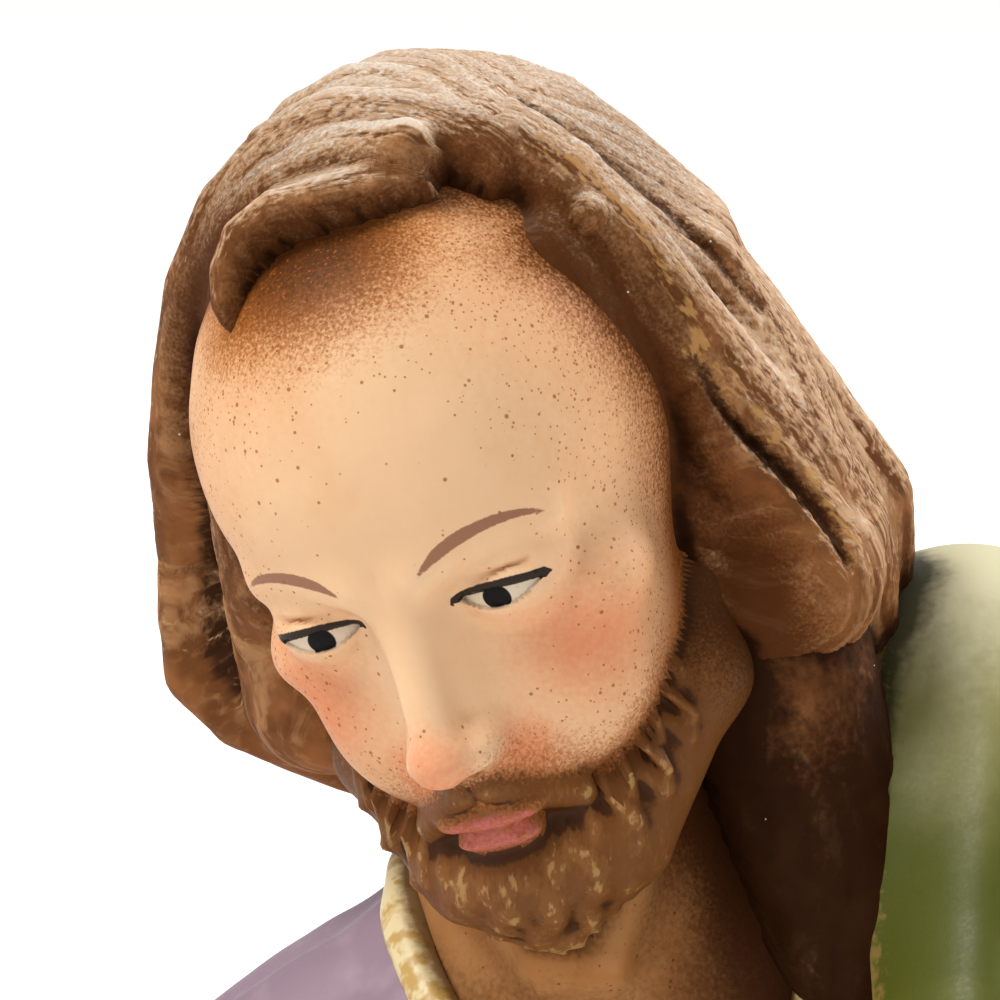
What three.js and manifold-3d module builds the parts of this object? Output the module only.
// The bust of a presepe figure: a bearded man who bows his head, cast in one piece and painted.
// Millimetres, +Z up. The figure faces -Y, its own left is +X, and its flat underside is z = 0.
// The form is proportioned in head heights, as a sculptor does, and scaled once at the end.
// Each form is a distance field: negative inside, zero on the surface, positive outside.

import * as THREE from "three";
import { mergeVertices } from "three/addons/utils/BufferGeometryUtils.js";
import Module from "manifold-3d";

// Driving dimensions

// Chin to crown of the bare head, in millimetres
const headHeight = 33;

// How far the head bows, leans to its own right and turns to its own right, in degrees
const nod = 21;
const tilt = 17;
const turn = 18;

// Middle of the head above and beside the middle of the underside, in head heights
const headAt = at(-0.06, -0.14, 1.46);

// Each form is blown up from a box: its core is a point inside it, its reach is past all of it,
// and its facets, counted along an edge of the box, crowd towards one side (0 spreads them evenly)
const faceBlow = {
  core: at(0, 0, -0.08),
  reach: 1.0,
  facets: 19,
  towards: at(0, -1, -0.15),
  crowding: 0.44,
};
const hairBlow = {
  core: at(0, 0.10, -0.04),
  reach: 1.0,
  facets: 16,
  towards: at(0, -1, 0.4),
  crowding: 0.15,
};
const neckBlow = {
  core: at(0.05, 0.12, 0.55),
  reach: 1.5,
  facets: 8,
  towards: at(0, 0, 1),
  crowding: 0.40,
};
const tunicBlow = {
  core: at(0, 0.12, 0.35),
  reach: 1.7,
  facets: 13,
  towards: at(0, -0.7, 1),
  crowding: 0.26,
};
const mantleBlow = {
  core: at(0.45, 0.15, 0.30),
  reach: 1.9,
  facets: 13,
  towards: at(0, 0, 1),
  crowding: 0.26,
};

// Lumps of the head: its own frame has the chin at -0.5 and the crown at 0.5 of z
const skullBack = lump([0, 0.10, 0.12], [0.335, 0.36, 0.375]);
const skullFront = lump([0, -0.10, 0.15], [0.300, 0.30, 0.31]);
const faceMask = lump([0, -0.11, -0.16], [0.262, 0.255, 0.34]);
const cheekbone = lump([0.198, -0.215, -0.085], [0.085, 0.085, 0.06]);
const cheek = lump([0.132, -0.25, -0.20], [0.095, 0.085, 0.11]);
const muzzle = lump([0, -0.285, -0.285], [0.120, 0.112, 0.11]);
const chin = lump([0, -0.325, -0.44], [0.085, 0.075, 0.065]);
const browRidge = bar([0.045, -0.368, 0.04], [0.205, -0.286, 0.055], 0.030, 0.018);
const eyeSocket = lump([0.138, -0.415, -0.012], [0.090, 0.085, 0.050]);

// The eye: a lid over a ball, parted by an almond
const lid = lump([0.136, -0.288, -0.012], [0.082, 0.080, 0.068]);
const eyeball = lump([0.136, -0.288, -0.012], [0.076, 0.073, 0.062]);
const almondHalfWidth = 0.062;
const almondUp = 0.012;
const almondDown = 0.020;
const almondBack = -0.25;

// The nose and what lies under it
const noseCore = bar([0, -0.330, 0.01], [0, -0.372, -0.195], 0.038, 0.060);
const noseBridge = bar([0, -0.365, 0.02], [0, -0.447, -0.18], 0.026, 0.031);
const noseTip = lump([0, -0.452, -0.190], [0.040, 0.038, 0.034]);
const nostrilWing = lump([0.043, -0.404, -0.203], [0.023, 0.038, 0.023]);
const noseFoot = bar([0, -0.448, -0.214], [0, -0.395, -0.232], 0.013, 0.014);
const philtrum = bar([0, -0.425, -0.245], [0, -0.420, -0.29], 0.010, 0.012);

// The lips, the line between them and the hollow over the chin
const upperLip = lump([0.026, -0.385, -0.316], [0.054, 0.026, 0.016]);
const lowerLip = lump([0, -0.383, -0.348], [0.064, 0.028, 0.021]);
const mouthLine = bar([0, -0.420, -0.331], [0.090, -0.378, -0.334], 0.0055, 0.004);
const chinHollow = lump([0, -0.418, -0.388], [0.06, 0.03, 0.018]);

// The beard: a roll along the jaw, a lump on the chin, a moustache, and rows of short curls
const sideBeard = bar([0.288, 0, -0.15], [0.248, -0.12, -0.31], 0.030, 0.062);
const jawBeard = bar([0.248, -0.13, -0.31], [0.11, -0.28, -0.435], 0.062, 0.082);
const chinBeard = lump([0, -0.300, -0.432], [0.142, 0.122, 0.094]);
const moustache = bar([0.02, -0.398, -0.268], [0.112, -0.335, -0.335], 0.018, 0.024);
const curlRows = 3;
const curlsPerRow = 11;
const curlSweep = 1.30;
const curlRing = { middle: -0.125, across: 0.298, forward: 0.285, narrowing: 0.16, back: 0.05 };
const curlLevel = { ears: -0.338, front: 0.080, rise: 0.13, bow: 1.5, drop: 0.078 };
const curlThin = 0.018;
const curlThick = 0.036;
const curlLean = 0.022;

// A curl's two bars: how far each drops, how far it stands off, and how its lean changes along the rows
const curlShape = { drop: 0.040, tailDrop: 0.026, out: 0.006, forward: 0.004, inward: 0.020, swing: 1.2 };
const curlPhase = { place: 3.1, row: 1.7 };

// Farther off than this, a curl no longer shapes the surface
const curlRange = 0.14;

// The hair: a scalp that the locks lie on, a side parting, and locks on both sides of it
const scalpCentre = at(0.014, 0.035, 0.105);
const scalpHalf = at(0.312, 0.450, 0.428);
const locksPerSide = 9;
const lockSteps = 14;
const lockSides = 6;
const partingX = 0.80;
const partingHalfWidth = 0.045;
const partingFront = 4;
const partingLength = 50;
const lastLock = 172;
const lockLift = 0.004;
const lockWave = 0.016;
const lockTurns = 1.1;
const lockPhase = { perLock: 0.55, left: 0.9 };
const lockFilling = 1.4;
const lockRoot = 0.055;
const lockBelly = 0.062;
const lockTip = 0.050;
const lockEndFront = -0.44;
const lockEndBack = -0.58;
const leftDrop = -0.07;
const partingDrift = 0.3;
const earLevel = 0.02;
const earlySwell = 0.26;
const swellSoon = 1.25;
const looseHang = { swell: 0.66, curlIn: 0.42, girth: 1 };
const framingLeft = { azimuth: 92, swell: 0.30, curlIn: 0.20, girth: 0.90 };
const framingRight = { azimuth: 95, swell: 0.78, curlIn: 0.50, girth: 0.85 };
const framingSpan = 0.25;
const curlInFrom = 0.6;
const hangingSway = 4;
const hangingDepth = 0.93;
const depthSwell = 0.4;

// The locks on the right stand farther out, until they curl in below
const rightPush = { out: 0.055, fade: 0.9, fadeFrom: 1.2 };

// Farther off than this, a lock no longer shapes the surface
const lockRange = 0.20;

// The locks carved round the face, by stations: a place in the head's frame and the radius there.
// The roll curves over the right half of the forehead, and the upper lock runs back from it.
const rollLock = [
  [0.160, -0.080, 0.455, 0.040], [0.110, -0.113, 0.478, 0.044], [0.048, -0.136, 0.493, 0.045],
  [-0.029, -0.143, 0.496, 0.046], [-0.084, -0.155, 0.480, 0.045], [-0.110, -0.180, 0.454, 0.038],
  [-0.122, -0.208, 0.428, 0.025], [-0.126, -0.226, 0.410, 0.010],
];
const upperLock = [
  [0.150, -0.072, 0.534, 0.034], [0.050, -0.052, 0.532, 0.029], [-0.041, -0.066, 0.522, 0.025],
  [-0.150, -0.030, 0.476, 0.022], [-0.272, 0.016, 0.386, 0.012],
];

// The long lock at the left runs from the parting past the temple, with a small one inside it
const longLock = [
  [0.205, 0.045, 0.455, 0.034], [0.242, 0.050, 0.425, 0.042], [0.284, 0.038, 0.373, 0.050],
  [0.325, 0.024, 0.292, 0.054], [0.355, 0.026, 0.190, 0.056], [0.375, 0.045, 0.070, 0.058],
  [0.395, 0.065, -0.060, 0.062], [0.405, 0.080, -0.190, 0.062], [0.385, 0.075, -0.310, 0.055],
  [0.340, 0.060, -0.400, 0.040],
];
const innerLock = [
  [0.346, 0.010, 0.130, 0.016], [0.356, 0.008, 0.040, 0.030], [0.366, 0.010, -0.050, 0.040],
  [0.380, 0.020, -0.140, 0.046], [0.385, 0.040, -0.230, 0.044], [0.375, 0.060, -0.310, 0.030],
];

// The bulk of hair under the locks
const hairCap = lump([0.020, 0.075, 0.12], [0.335, 0.43, 0.448]);
const sideHair = bar([0.30, 0.02, 0.05], [0.36, 0.04, -0.26], 0.10, 0.135);
const templeHair = bar([0.275, -0.04, 0.04], [0.30, -0.02, -0.28], 0.06, 0.07);
const backHair = lump([0, 0.20, -0.18], [0.36, 0.27, 0.42]);

// The hair is opened before the face, beside its left cheek, at the parting and at the right temple
const hairOpenings = [
  lump([0.05, -0.44, 0.06], [0.43, 0.50, 0.55]),
  lump([0.36, -0.17, -0.04], [0.11, 0.17, 0.24]),
  lump([0.19, -0.13, 0.43], [0.13, 0.17, 0.10]),
  lump([-0.24, -0.22, 0.34], [0.12, 0.15, 0.12]),
];
const openingDetail = 4;

// Lumps of the torso, in head heights from the middle of the underside
const chest = lump([0.06, 0.10, 0], [0.72, 0.48, 0.80]);
const shoulders = bar([-0.58, 0.17, 0.22], [0.62, 0.20, 0.86], 0.255, 0.33);
const rightArm = bar([-0.64, 0.14, 0.22], [-0.80, 0.02, -0.35], 0.25, 0.23);
const leftArm = bar([0.72, 0.16, 0.82], [0.92, -0.02, -0.30], 0.28, 0.25);
const neckSlope = lump([0.10, 0.15, 0.72], [0.28, 0.31, 0.31]);

// The pose of the head, which the neck and the hair on it follow
const headPose = new THREE.Matrix4()
  .makeRotationZ(radians(-turn))
  .multiply(new THREE.Matrix4().makeRotationY(radians(-tilt)))
  .multiply(new THREE.Matrix4().makeRotationX(radians(nod)))
  .setPosition(headAt);

// The neck with its two cords, and the hair that hangs behind it
const neckFoot = at(0.09, 0.13, 0.66);
const neckTop = at(0, 0.09, -0.26).applyMatrix4(headPose);
const neck = { from: neckFoot, to: neckTop, fromRadius: 0.255, toRadius: 0.215 };
const throatPit = at(0.08, -0.20, 0.80);
const neckCords = [-1, 1].map((side) => ({
  from: at(side * 0.22, 0.06, -0.24).applyMatrix4(headPose),
  to: at(side * 0.05, 0, 0).add(throatPit),
  fromRadius: 0.04,
  toRadius: 0.028,
}));
const leftTail = {
  from: at(0.27, 0.10, -0.24).applyMatrix4(headPose),
  to: at(0.48, -0.13, 0.80),
  fromRadius: 0.16,
  toRadius: 0.11,
};
const backTail = {
  from: at(-0.10, 0.24, -0.30).applyMatrix4(headPose),
  to: at(0.06, 0.33, 0.82),
  fromRadius: 0.16,
  toRadius: 0.12,
};
const skinUnderCloth = 0.035;

// The collar: a round trim that lies on the edge of the tunic's neck opening
const collarCentre = at(0.15, 0.05, 0);
const collarReach = { across: 0.33, along: 0.33 };
const collarTop = 1.4;
const collarRadius = 0.034;
const collarSteps = 36;
const collarSides = 6;

// The tunic: its neck opening ends under the collar, and its folds run out from there
const openingInset = 0.012;
const openingSides = 24;
const tunicFold = { depth: 0.022, count: 11, start: 0.30, full: 0.65, top: 1.05, fade: 0.3 };
const tunicSway = { depth: 2.2, upward: 2.5, around: 1.3 };

// The mantle: a thicker cloth over the left shoulder, with a roll at the neck
const mantleThickness = 0.075;
const hemRoll = bar([0.63, -0.34, -0.10], [0.61, -0.27, 0.72], 0.08, 0.12);
const neckRoll = bar([0.61, -0.27, 0.72], [0.62, 0.14, 1.15], 0.12, 0.16);
const napeRoll = bar([0.62, 0.14, 1.15], [0.26, 0.48, 0.98], 0.16, 0.12);
const mantleFold = { depth: 0.024, count: 19, fromX: 0.62, fromZ: 1.75, top: 1.3, fade: 0.5 };
const mantleSway = { depth: 1.1, upward: 3, along: 2, lean: 1.5 };
const mantleFront = { at: 0.51, slope: 0.03, wave: 0.02, waves: 5, level: 0.80 };
const mantleBack = { at: -0.15, slope: 0.95, level: 0.85 };
const mantleTurn = { from: 0.15, over: 0.25 };

// The block that cuts the mantle off at its edge: as far to the right as it reaches, and its facets
const mantleCut = { size: 3, middle: 0.8, right: -2, facetsAlong: 14, facetsUp: 10 };

// How softly one form melts into the next
const blend = {
  skull: 0.10, mask: 0.08, cheek: 0.06, muzzle: 0.05, socket: 0.05, lid: 0.022, cut: 0.004,
  bridge: 0.035, tip: 0.024, wing: 0.030, lip: 0.012, groove: 0.020, hollow: 0.03,
  moustache: 0.03, beard: 0.025, curl: 0.030, bulk: 0.06, back: 0.08, lock: 0.034,
  body: 0.22, arm: 0.15, slope: 0.12, cord: 0.08, roll: 0.05, cloth: 0.10,
};

// How the surface of a field is looked for: steps, how near is near enough, and the length of a step
const search = { steps: 60, near: 2e-4, gain: 0.6, back: 0.02, ahead: 0.10 };

// Wider than the bust, for the block that cuts it flat below
const groundBlock = 5;

// Small helpers: points, lumps, bars and angles

function at(x, y, z) {
  return new THREE.Vector3(x, y, z);
}

function lump(centre, half) {
  return { centre: at(...centre), half: at(...half) };
}

function bar(from, to, fromRadius, toRadius) {
  return { from: at(...from), to: at(...to), fromRadius, toRadius };
}

function radians(degrees) {
  return THREE.MathUtils.degToRad(degrees);
}

function clamp(value, low, high) {
  return Math.min(Math.max(value, low), high);
}

// The same point on the figure's left half, for what is alike on both sides
function onLeft(point) {
  return at(Math.abs(point.x), point.y, point.z);
}

// Distance fields

// Two forms joined, with a fillet of the given softness
function melt(a, b, softness) {
  const share = clamp(0.5 + 0.5 * (b - a) / softness, 0, 1);
  return b + (a - b) * share - softness * share * (1 - share);
}

// One form cut out of another, with a soft edge
function carve(form, tool, softness) {
  return -melt(-form, tool, softness);
}

function lumpField(point, { centre, half }) {
  const x = (point.x - centre.x) / half.x;
  const y = (point.y - centre.y) / half.y;
  const z = (point.z - centre.z) / half.z;
  const length = Math.hypot(x, y, z) + 1e-9;
  const slope = Math.hypot(x / half.x, y / half.y, z / half.z) + 1e-9;
  return length * (length - 1) / slope;
}

function barField(point, { from, to, fromRadius, toRadius }) {
  const dx = to.x - from.x;
  const dy = to.y - from.y;
  const dz = to.z - from.z;
  const px = point.x - from.x;
  const py = point.y - from.y;
  const pz = point.z - from.z;
  const along = clamp((px * dx + py * dy + pz * dz) / (dx * dx + dy * dy + dz * dz), 0, 1);
  const off = Math.hypot(px - along * dx, py - along * dy, pz - along * dz);
  return off - fromRadius - along * (toRadius - fromRadius);
}

// Distance in the face's plane to the almond between the lids
function almondField(x, z) {
  const upperRadius = (almondHalfWidth ** 2 + almondUp ** 2) / (2 * almondUp);
  const lowerRadius = (almondHalfWidth ** 2 + almondDown ** 2) / (2 * almondDown);
  const upper = Math.hypot(x, z - (almondUp - upperRadius)) - upperRadius;
  const lower = Math.hypot(x, z - (lowerRadius - almondDown)) - lowerRadius;
  return Math.max(upper, lower);
}

// The face, calm, with the eyes on the middle line of the head
function faceField(point) {
  const left = onLeft(point);
  let d = lumpField(point, skullBack);
  d = melt(d, lumpField(point, skullFront), blend.skull);
  d = melt(d, lumpField(point, faceMask), blend.mask);
  d = melt(d, lumpField(left, cheekbone), blend.cheek);
  d = melt(d, lumpField(left, cheek), blend.cheek);
  d = melt(d, lumpField(point, muzzle), blend.muzzle);
  d = melt(d, lumpField(point, chin), blend.muzzle);
  d = melt(d, barField(left, browRidge), blend.cheek);
  d = carve(d, lumpField(left, eyeSocket), blend.socket);
  d = eyeField(d, left);
  d = noseField(d, point, left);
  return mouthField(d, point, left);
}

// The lids are added, and the ball is bared in the almond between them
function eyeField(d, left) {
  const lidded = melt(d, lumpField(left, lid), blend.lid);
  const almond = almondField(left.x - eyeball.centre.x, left.z - eyeball.centre.z);
  const gap = Math.max(almond, -lumpField(left, eyeball), left.y - almondBack);
  return carve(lidded, gap, blend.cut);
}

function noseField(face, point, left) {
  let d = melt(face, barField(point, noseCore), blend.muzzle);
  d = melt(d, barField(point, noseBridge), blend.bridge);
  d = melt(d, lumpField(point, noseTip), blend.tip);
  d = melt(d, lumpField(left, nostrilWing), blend.wing);
  d = melt(d, barField(point, noseFoot), blend.lip);
  return carve(d, barField(point, philtrum), blend.groove);
}

function mouthField(face, point, left) {
  let d = melt(face, lumpField(left, upperLip), blend.lip);
  d = melt(d, lumpField(point, lowerLip), blend.lip);
  d = carve(d, barField(left, mouthLine), blend.lip);
  return carve(d, lumpField(point, chinHollow), blend.hollow);
}

// One short curl of the beard: two bars that lean one way and then the other
function beardCurl(row, place) {
  const stagger = 0.5 * (row % 2);
  const angle = curlSweep * (2 * (place + stagger) / (curlsPerRow - 0.5) - 1);
  const drop = row / (curlRows - 1);
  const side = Math.sin(angle);
  const fore = Math.cos(angle);
  const reach = 1 - curlRing.narrowing * drop;
  const top = at(
    curlRing.across * side * reach,
    curlRing.middle - curlRing.forward * fore * reach + curlRing.back * Math.abs(side),
    curlLevel.ears - curlLevel.front * fore - curlLevel.drop * drop
      + curlLevel.rise * Math.abs(side) ** curlLevel.bow,
  );
  const lean = curlLean * Math.sin(curlPhase.place * place + curlPhase.row * row);
  const { drop: fall, tailDrop, out, forward, inward, swing } = curlShape;
  const middle = top.clone().add(at(out * side + lean, -forward * fore, -fall));
  const end = middle.clone().add(at(-inward * side - swing * lean, inward * fore, -tailDrop));
  return {
    middle,
    upper: { from: top, to: middle, fromRadius: curlThin, toRadius: curlThick },
    lower: { from: middle, to: end, fromRadius: curlThick, toRadius: curlThin },
  };
}

const beardCurls = [];
for (let row = 0; row < curlRows; row += 1) {
  for (let place = 0; place < curlsPerRow; place += 1) {
    beardCurls.push(beardCurl(row, place));
  }
}

function beardField(point) {
  const left = onLeft(point);
  let d = barField(left, sideBeard);
  d = melt(d, barField(left, jawBeard), blend.muzzle);
  d = melt(d, lumpField(point, chinBeard), blend.cheek);
  d = melt(d, barField(left, moustache), blend.moustache);
  for (const { middle, upper, lower } of beardCurls) {
    if (point.distanceTo(middle) < curlRange) {
      d = melt(d, Math.min(barField(point, upper), barField(point, lower)), blend.curl);
    }
  }
  return d;
}

// A direction between two others, by equal turns
function between(from, to, share) {
  const angle = Math.acos(clamp(from.dot(to), -1, 1));
  const direction = from.clone().multiplyScalar(Math.sin((1 - share) * angle));
  return direction.addScaledVector(to, Math.sin(share * angle)).divideScalar(Math.sin(angle));
}

function onScalp(direction) {
  return direction.clone().multiply(scalpHalf).add(scalpCentre);
}

// The first half of a lock lies over the scalp, from the parting down to the ears' level
function scalpLock(share, start, ear, azimuth, phase) {
  const direction = between(start, ear, share);
  const point = onScalp(direction).addScaledVector(direction, lockLift * Math.sin(Math.PI * share));
  point.y += lockWave * share * Math.sin(2 * Math.PI * lockTurns * share + phase);
  const out = earlySwell * Math.sin(azimuth) ** 2 * share ** 3;
  point.x += out * (point.x - scalpCentre.x);
  point.y += out * (point.y - scalpCentre.y);
  const girth = Math.sin(0.5 * Math.PI * Math.min(1, lockFilling * share));
  return { point, radius: lockRoot + (lockBelly - lockRoot) * girth };
}

// The second half hangs free: it swells out at the sides and curls in at its end
function hangingLock(share, side, azimuth, ear, endLevel, phase, hang) {
  const broad = hang.swell * Math.sin(azimuth) ** 2;
  const early = earlySwell * Math.sin(azimuth) ** 2;
  const swell = 1 + early + (broad - early) * Math.sin(0.5 * Math.PI * Math.min(1, swellSoon * share))
    - hang.curlIn * Math.max(0, share - curlInFrom) / (1 - curlInFrom);
  const angle = azimuth + radians(hangingSway) * Math.sin(2 * Math.PI * lockTurns * share + phase);
  const depth = hangingDepth * (1 + depthSwell * (swell - 1));
  const top = scalpCentre.z + scalpHalf.z * ear.z;
  const point = at(
    side * scalpHalf.x * Math.sin(angle) * swell,
    scalpCentre.y - scalpHalf.y * Math.cos(angle) * depth,
    THREE.MathUtils.lerp(top, endLevel, share),
  );
  return { point, radius: THREE.MathUtils.lerp(lockBelly, lockTip, share) };
}

// One lock from the parting to its end: rank 0 frames the face and rank 1 is at the back
function lockPath(side, rank) {
  const back = radians(partingFront - partingLength * rank);
  const start = at(
    partingX * (1 - partingDrift * rank) + partingHalfWidth * side, -Math.sin(back), Math.cos(back),
  ).normalize();
  const framing = side > 0 ? framingLeft : framingRight;
  const freed = Math.min(1, rank / framingSpan);
  const hang = {
    swell: THREE.MathUtils.lerp(framing.swell, looseHang.swell, freed),
    curlIn: THREE.MathUtils.lerp(framing.curlIn, looseHang.curlIn, freed),
    girth: THREE.MathUtils.lerp(framing.girth, looseHang.girth, freed),
  };
  const azimuth = radians(THREE.MathUtils.lerp(framing.azimuth, lastLock, rank));
  const ear = at(side * Math.sin(azimuth), -Math.cos(azimuth), earLevel).normalize();
  const endLevel = THREE.MathUtils.lerp(lockEndFront, lockEndBack, rank) + (side > 0 ? leftDrop : 0);
  const phase = lockPhase.perLock * rank * locksPerSide + (side > 0 ? lockPhase.left : 0);
  const stations = [];
  for (let i = 0; i <= lockSteps; i += 1) {
    const share = 2 * i / lockSteps;
    const { point, radius } = share < 1
      ? scalpLock(share, start, ear, azimuth, phase)
      : hangingLock(share - 1, side, azimuth, ear, endLevel, phase, hang);
    if (side < 0) {
      const faded = 1 - rightPush.fade * Math.max(0, share - rightPush.fadeFrom) / (2 - rightPush.fadeFrom);
      point.x -= rightPush.out * Math.sin(azimuth) ** 2 * Math.min(1, share) ** 2 * faded;
    }
    stations.push({ point, radius: hang.girth * radius });
  }
  return stations;
}

// A lock by its own stations
function carvedPath(stations) {
  return stations.map(([x, y, z, radius]) => ({ point: at(x, y, z), radius }));
}

// Bars between the stations of a lock, and the ball that holds them all
function lockForm(stations) {
  const bars = [];
  for (let i = 1; i < stations.length; i += 1) {
    const { point: from, radius: fromRadius } = stations[i - 1];
    const { point: to, radius: toRadius } = stations[i];
    bars.push({ from, to, fromRadius, toRadius });
  }
  const ball = new THREE.Sphere().setFromPoints(stations.map(({ point }) => point));
  ball.radius += lockRange;
  return { bars, ball };
}

const locks = [];
for (const side of [-1, 1]) {
  for (let i = 1; i < locksPerSide; i += 1) {
    locks.push(lockForm(lockPath(side, i / (locksPerSide - 1))));
  }
}

function hairField(point) {
  const left = onLeft(point);
  let bulk = melt(barField(left, sideHair), lumpField(point, backHair), blend.back);
  bulk = melt(bulk, barField(left, templeHair), blend.roll);
  let d = melt(lumpField(point, hairCap), bulk, blend.bulk);
  for (const { bars, ball } of locks) {
    if (ball.containsPoint(point)) {
      const lock = Math.min(...bars.map((piece) => barField(point, piece)));
      d = melt(d, lock, blend.lock);
    }
  }
  return d;
}

function beardedField(point) {
  return melt(faceField(point), beardField(point), blend.beard);
}

// The body under the cloth
function bodyField(point) {
  let d = lumpField(point, chest);
  d = melt(d, barField(point, shoulders), blend.body);
  d = melt(d, barField(point, rightArm), blend.arm);
  d = melt(d, barField(point, leftArm), blend.arm);
  return melt(d, lumpField(point, neckSlope), blend.slope);
}

function neckField(point) {
  let d = barField(point, neck);
  for (const cord of neckCords) {
    d = melt(d, barField(point, cord), blend.cord);
  }
  const tails = melt(barField(point, leftTail), barField(point, backTail), blend.bulk);
  d = melt(d, tails, blend.moustache);
  return melt(d, bodyField(point) + skinUnderCloth, blend.cloth);
}

// A point of the collar, lowered from above until it lies on the body
function collarPoint(angle) {
  const point = at(collarReach.across * Math.sin(angle), -collarReach.along * Math.cos(angle), collarTop);
  point.add(collarCentre);
  for (let step = 0; step < search.steps; step += 1) {
    point.z -= search.gain * bodyField(point);
  }
  return point;
}

function tunicField(point) {
  const x = point.x - collarCentre.x;
  const y = point.y - collarCentre.y;
  const angle = Math.atan2(x, -y);
  const outward = (Math.hypot(x, y) - tunicFold.start) / (tunicFold.full - tunicFold.start);
  const weight = clamp(outward, 0, 1) * clamp((tunicFold.top - point.z) / tunicFold.fade, 0, 1);
  const sway = tunicSway.depth * Math.sin(tunicSway.upward * point.z + tunicSway.around * angle);
  return bodyField(point) - tunicFold.depth * weight * Math.sin(tunicFold.count * angle + sway);
}

function mantleField(point) {
  const { x, y, z } = point;
  let roll = melt(barField(point, neckRoll), barField(point, napeRoll), blend.roll);
  roll = melt(roll, barField(point, hemRoll), blend.roll);
  const spread = Math.atan2(x - mantleFold.fromX, mantleFold.fromZ - z);
  const swing = Math.sin(mantleSway.upward * z + mantleSway.along * y);
  const sway = mantleSway.depth * swing + mantleSway.lean * y;
  const weight = clamp((mantleFold.top - z) / mantleFold.fade, 0, 1);
  const fold = weight * Math.sin(mantleFold.count * spread + sway);
  return melt(bodyField(point) - mantleThickness, roll, blend.slope) - mantleFold.depth * fold;
}

// Where the mantle ends: upright in front, and slanting over the back to the right hip
function mantleEdge(y, z) {
  const wave = mantleFront.wave * Math.sin(mantleFront.waves * z);
  const front = mantleFront.at + mantleFront.slope * (mantleFront.level - z) + wave;
  const back = mantleBack.at - mantleBack.slope * (mantleBack.level - z);
  return THREE.MathUtils.lerp(front, back, clamp((y - mantleTurn.from) / mantleTurn.over, 0, 1));
}

// Solids

// A direction drawn towards another, so that the facets are finest there
function crowded(direction, towards, crowding) {
  const angle = direction.angleTo(towards);
  const sideways = direction.clone().addScaledVector(towards, -Math.cos(angle));
  if (sideways.length() < 1e-9) {
    return direction;
  }
  const drawn = angle - crowding * Math.sin(angle);
  return sideways.setLength(Math.sin(drawn)).addScaledVector(towards, Math.cos(drawn));
}

// How far out from the core the field's surface lies, looked for from the outside
function surfaceDistance(field, core, direction, reach) {
  const point = at(0, 0, 0);
  let distance = reach;
  for (let step = 0; step < search.steps; step += 1) {
    const gap = field(point.copy(core).addScaledVector(direction, distance));
    if (Math.abs(gap) < search.near) {
      break;
    }
    distance -= clamp(search.gain * gap, -search.back, search.ahead);
  }
  return distance;
}

// Only the places of a shape's corners, with the corners that coincide merged
function welded(shape) {
  shape.deleteAttribute("normal");
  shape.deleteAttribute("uv");
  return mergeVertices(shape);
}

// A box whose facets are blown out on to the surface of a field
function blownForm(field, { core, reach, facets, towards, crowding }) {
  const side = towards.clone().normalize();
  const geometry = welded(new THREE.BoxGeometry(2, 2, 2, facets, facets, facets));
  const corners = geometry.attributes.position;
  for (let i = 0; i < corners.count; i += 1) {
    const even = at(corners.getX(i), corners.getY(i), corners.getZ(i))
      .multiplyScalar(Math.PI / 4);
    even.set(Math.tan(even.x), Math.tan(even.y), Math.tan(even.z)).normalize();
    const direction = crowded(even, side, crowding);
    const distance = surfaceDistance(field, core, direction, reach);
    const point = core.clone().addScaledVector(direction, distance);
    corners.setXYZ(i, point.x, point.y, point.z);
  }
  return shorterDiagonals(geometry);
}

// The box's squares come as two triangles, a b d and b c d: each is split the shorter way instead
function shorterDiagonals(geometry) {
  const corners = geometry.attributes.position;
  const index = geometry.index;
  const place = (corner) => at(corners.getX(corner), corners.getY(corner), corners.getZ(corner));
  for (let i = 0; i < index.count; i += 6) {
    const [a, b, c, d] = [index.getX(i), index.getX(i + 1), index.getX(i + 4), index.getX(i + 2)];
    if (place(a).distanceTo(place(c)) < place(b).distanceTo(place(d))) {
      [a, b, c, a, c, d].forEach((corner, k) => index.setX(i + k, corner));
    }
  }
  return geometry;
}

const wasm = await Module();
wasm.setup();

function solidFrom(geometry) {
  const mesh = new wasm.Mesh({
    numProp: 3,
    vertProperties: new Float32Array(geometry.attributes.position.array),
    triVerts: new Uint32Array(geometry.index.array),
  });
  return new wasm.Manifold(mesh);
}

function geometryFrom(solid) {
  const mesh = solid.getMesh();
  const geometry = new THREE.BufferGeometry();
  geometry.setAttribute("position", new THREE.BufferAttribute(mesh.vertProperties, 3));
  geometry.setIndex(new THREE.BufferAttribute(mesh.triVerts, 1));
  geometry.computeVertexNormals();
  return geometry;
}

// Plaster fills every pocket that the joined forms shut in, so the outer skin alone is kept
function outerSkin(solid) {
  const skins = solid.decompose();
  return skins.reduce((widest, skin) => (skin.volume() > widest.volume() ? skin : widest));
}

// Everything below the underside is cut away by a block
function blockBelow() {
  const block = new THREE.BoxGeometry(groundBlock, groundBlock, groundBlock);
  return welded(block.translate(0, 0, -groundBlock / 2));
}

// The collar's trim is a round bar that closes on itself
function collarForm() {
  const corners = [];
  for (let i = 0; i < collarSteps; i += 1) {
    corners.push(collarPoint(2 * Math.PI * i / collarSteps));
  }
  const ring = new THREE.CatmullRomCurve3(corners, true);
  return welded(new THREE.TubeGeometry(ring, collarSteps, collarRadius, collarSides, true));
}

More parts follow.
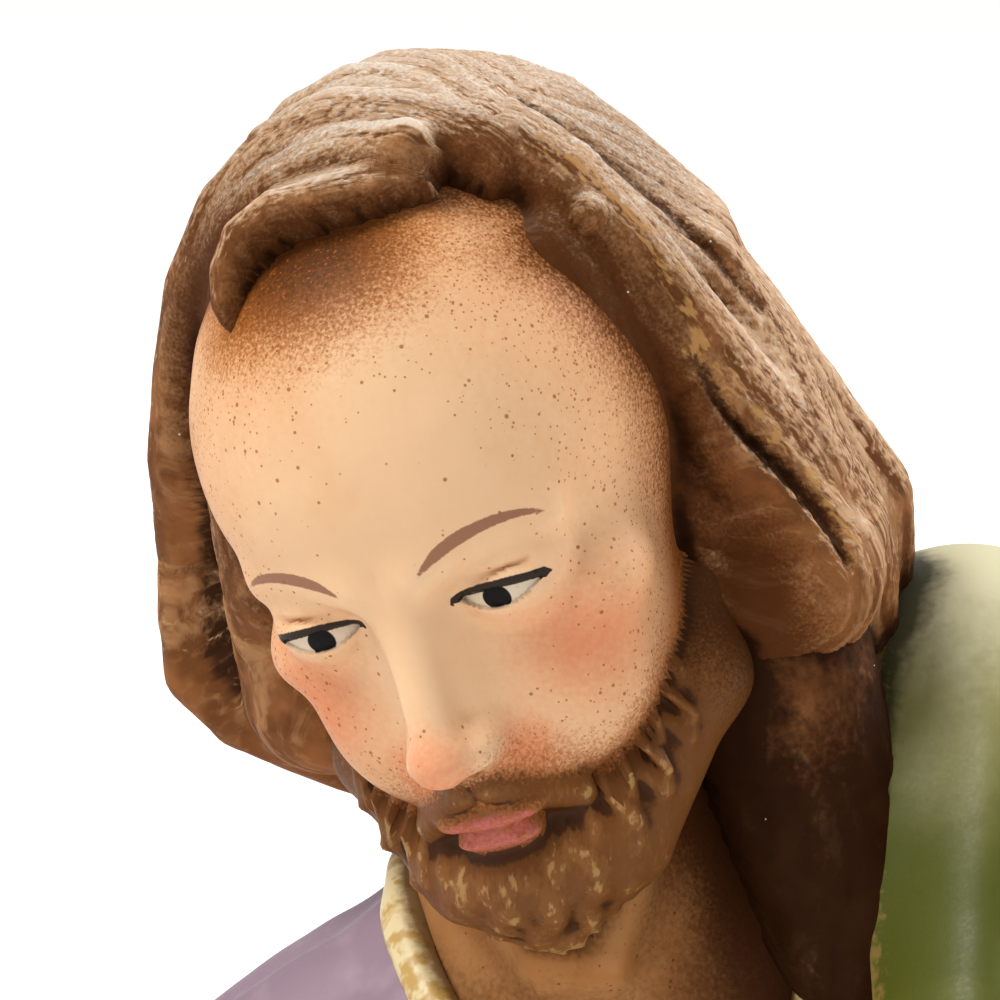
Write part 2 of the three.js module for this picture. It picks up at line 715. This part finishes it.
// A tapering round bar along a lock's stations, pointed at both ends
function sweptForm(stations) {
  const corners = [];
  const faces = [];
  const last = stations.length - 1;
  const ways = stations.map((_, i) => {
    const ahead = stations[Math.min(i + 1, last)].point;
    return ahead.clone().sub(stations[Math.max(i - 1, 0)].point).normalize();
  });
  stations.forEach(({ point, radius }, i) => {
    const across = point.clone().sub(scalpCentre).cross(ways[i]).normalize();
    const out = ways[i].clone().cross(across);
    for (let j = 0; j < lockSides; j += 1) {
      const angle = 2 * Math.PI * j / lockSides;
      const corner = point.clone().addScaledVector(across, radius * Math.cos(angle));
      corners.push(corner.addScaledVector(out, radius * Math.sin(angle)));
    }
  });
  corners.push(stations[0].point.clone().addScaledVector(ways[0], -stations[0].radius));
  corners.push(stations[last].point.clone().addScaledVector(ways[last], stations[last].radius));
  const root = corners.length - 2;
  for (let j = 0; j < lockSides; j += 1) {
    const next = (j + 1) % lockSides;
    faces.push(root, next, j);
    faces.push(root + 1, last * lockSides + j, last * lockSides + next);
    for (let i = 0; i < last; i += 1) {
      const a = i * lockSides;
      faces.push(a + j, a + next, a + lockSides + next, a + j, a + lockSides + next, a + lockSides + j);
    }
  }
  return new THREE.BufferGeometry().setFromPoints(corners).setIndex(faces);
}

// All that lies before the mantle's edge, as a block with one shaped side
function mantleCutForm() {
  const { size, middle, right, facetsAlong, facetsUp } = mantleCut;
  const block = welded(new THREE.BoxGeometry(1, 1, 1, 1, facetsAlong, facetsUp));
  const corners = block.attributes.position;
  for (let i = 0; i < corners.count; i += 1) {
    const y = size * corners.getY(i);
    const z = middle + size * corners.getZ(i);
    corners.setXYZ(i, corners.getX(i) < 0 ? right : mantleEdge(y, z), y, z);
  }
  return block;
}

// An upright shaft as wide as the collar, which opens the tunic for the neck
function openingForm() {
  const shaft = new THREE.CylinderGeometry(1, 1, 2, openingSides).rotateX(Math.PI / 2);
  shaft.scale(collarReach.across - openingInset, collarReach.along - openingInset, 1);
  return welded(shaft.translate(collarCentre.x, collarCentre.y, collarTop));
}

// A lump as a solid's surface, for what is cut out of the hair
function lumpForm({ centre, half }) {
  const ball = new THREE.IcosahedronGeometry(1, openingDetail).scale(half.x, half.y, half.z);
  return welded(ball.translate(centre.x, centre.y, centre.z));
}

// The forms at their real size, as solids
function realSolid(form) {
  return solidFrom(form.scale(headHeight, headHeight, headHeight));
}

const face = realSolid(blownForm(beardedField, faceBlow).applyMatrix4(headPose));
const hair = hairOpenings
  .map((opening) => realSolid(lumpForm(opening).applyMatrix4(headPose)))
  .reduce((form, opening) => form.subtract(opening),
    realSolid(blownForm(hairField, hairBlow).applyMatrix4(headPose)));
const throat = realSolid(blownForm(neckField, neckBlow));
const tunic = realSolid(blownForm(tunicField, tunicBlow)).subtract(realSolid(openingForm()));
const trim = realSolid(collarForm());
const mantle = realSolid(blownForm(mantleField, mantleBlow)).subtract(realSolid(mantleCutForm()));
const framing = [...[rollLock, upperLock, longLock, innerLock].map(carvedPath), lockPath(-1, 0)]
  .map((stations) => realSolid(sweptForm(stations).applyMatrix4(headPose)));
const joined = [face, hair, throat, tunic, trim, mantle, ...framing]
  .reduce((whole, form) => whole.add(form));
const casting = outerSkin(joined.subtract(realSolid(blockBelow())));

const paintedPlaster = new THREE.MeshStandardMaterial({
  color: 0xb98c68,
  roughness: 0.45,
  metalness: 0,
});
const bust = new THREE.Mesh(geometryFrom(casting), paintedPlaster);
bust.name = "bust";

const figure = new THREE.Group();
figure.add(bust);

export default figure;
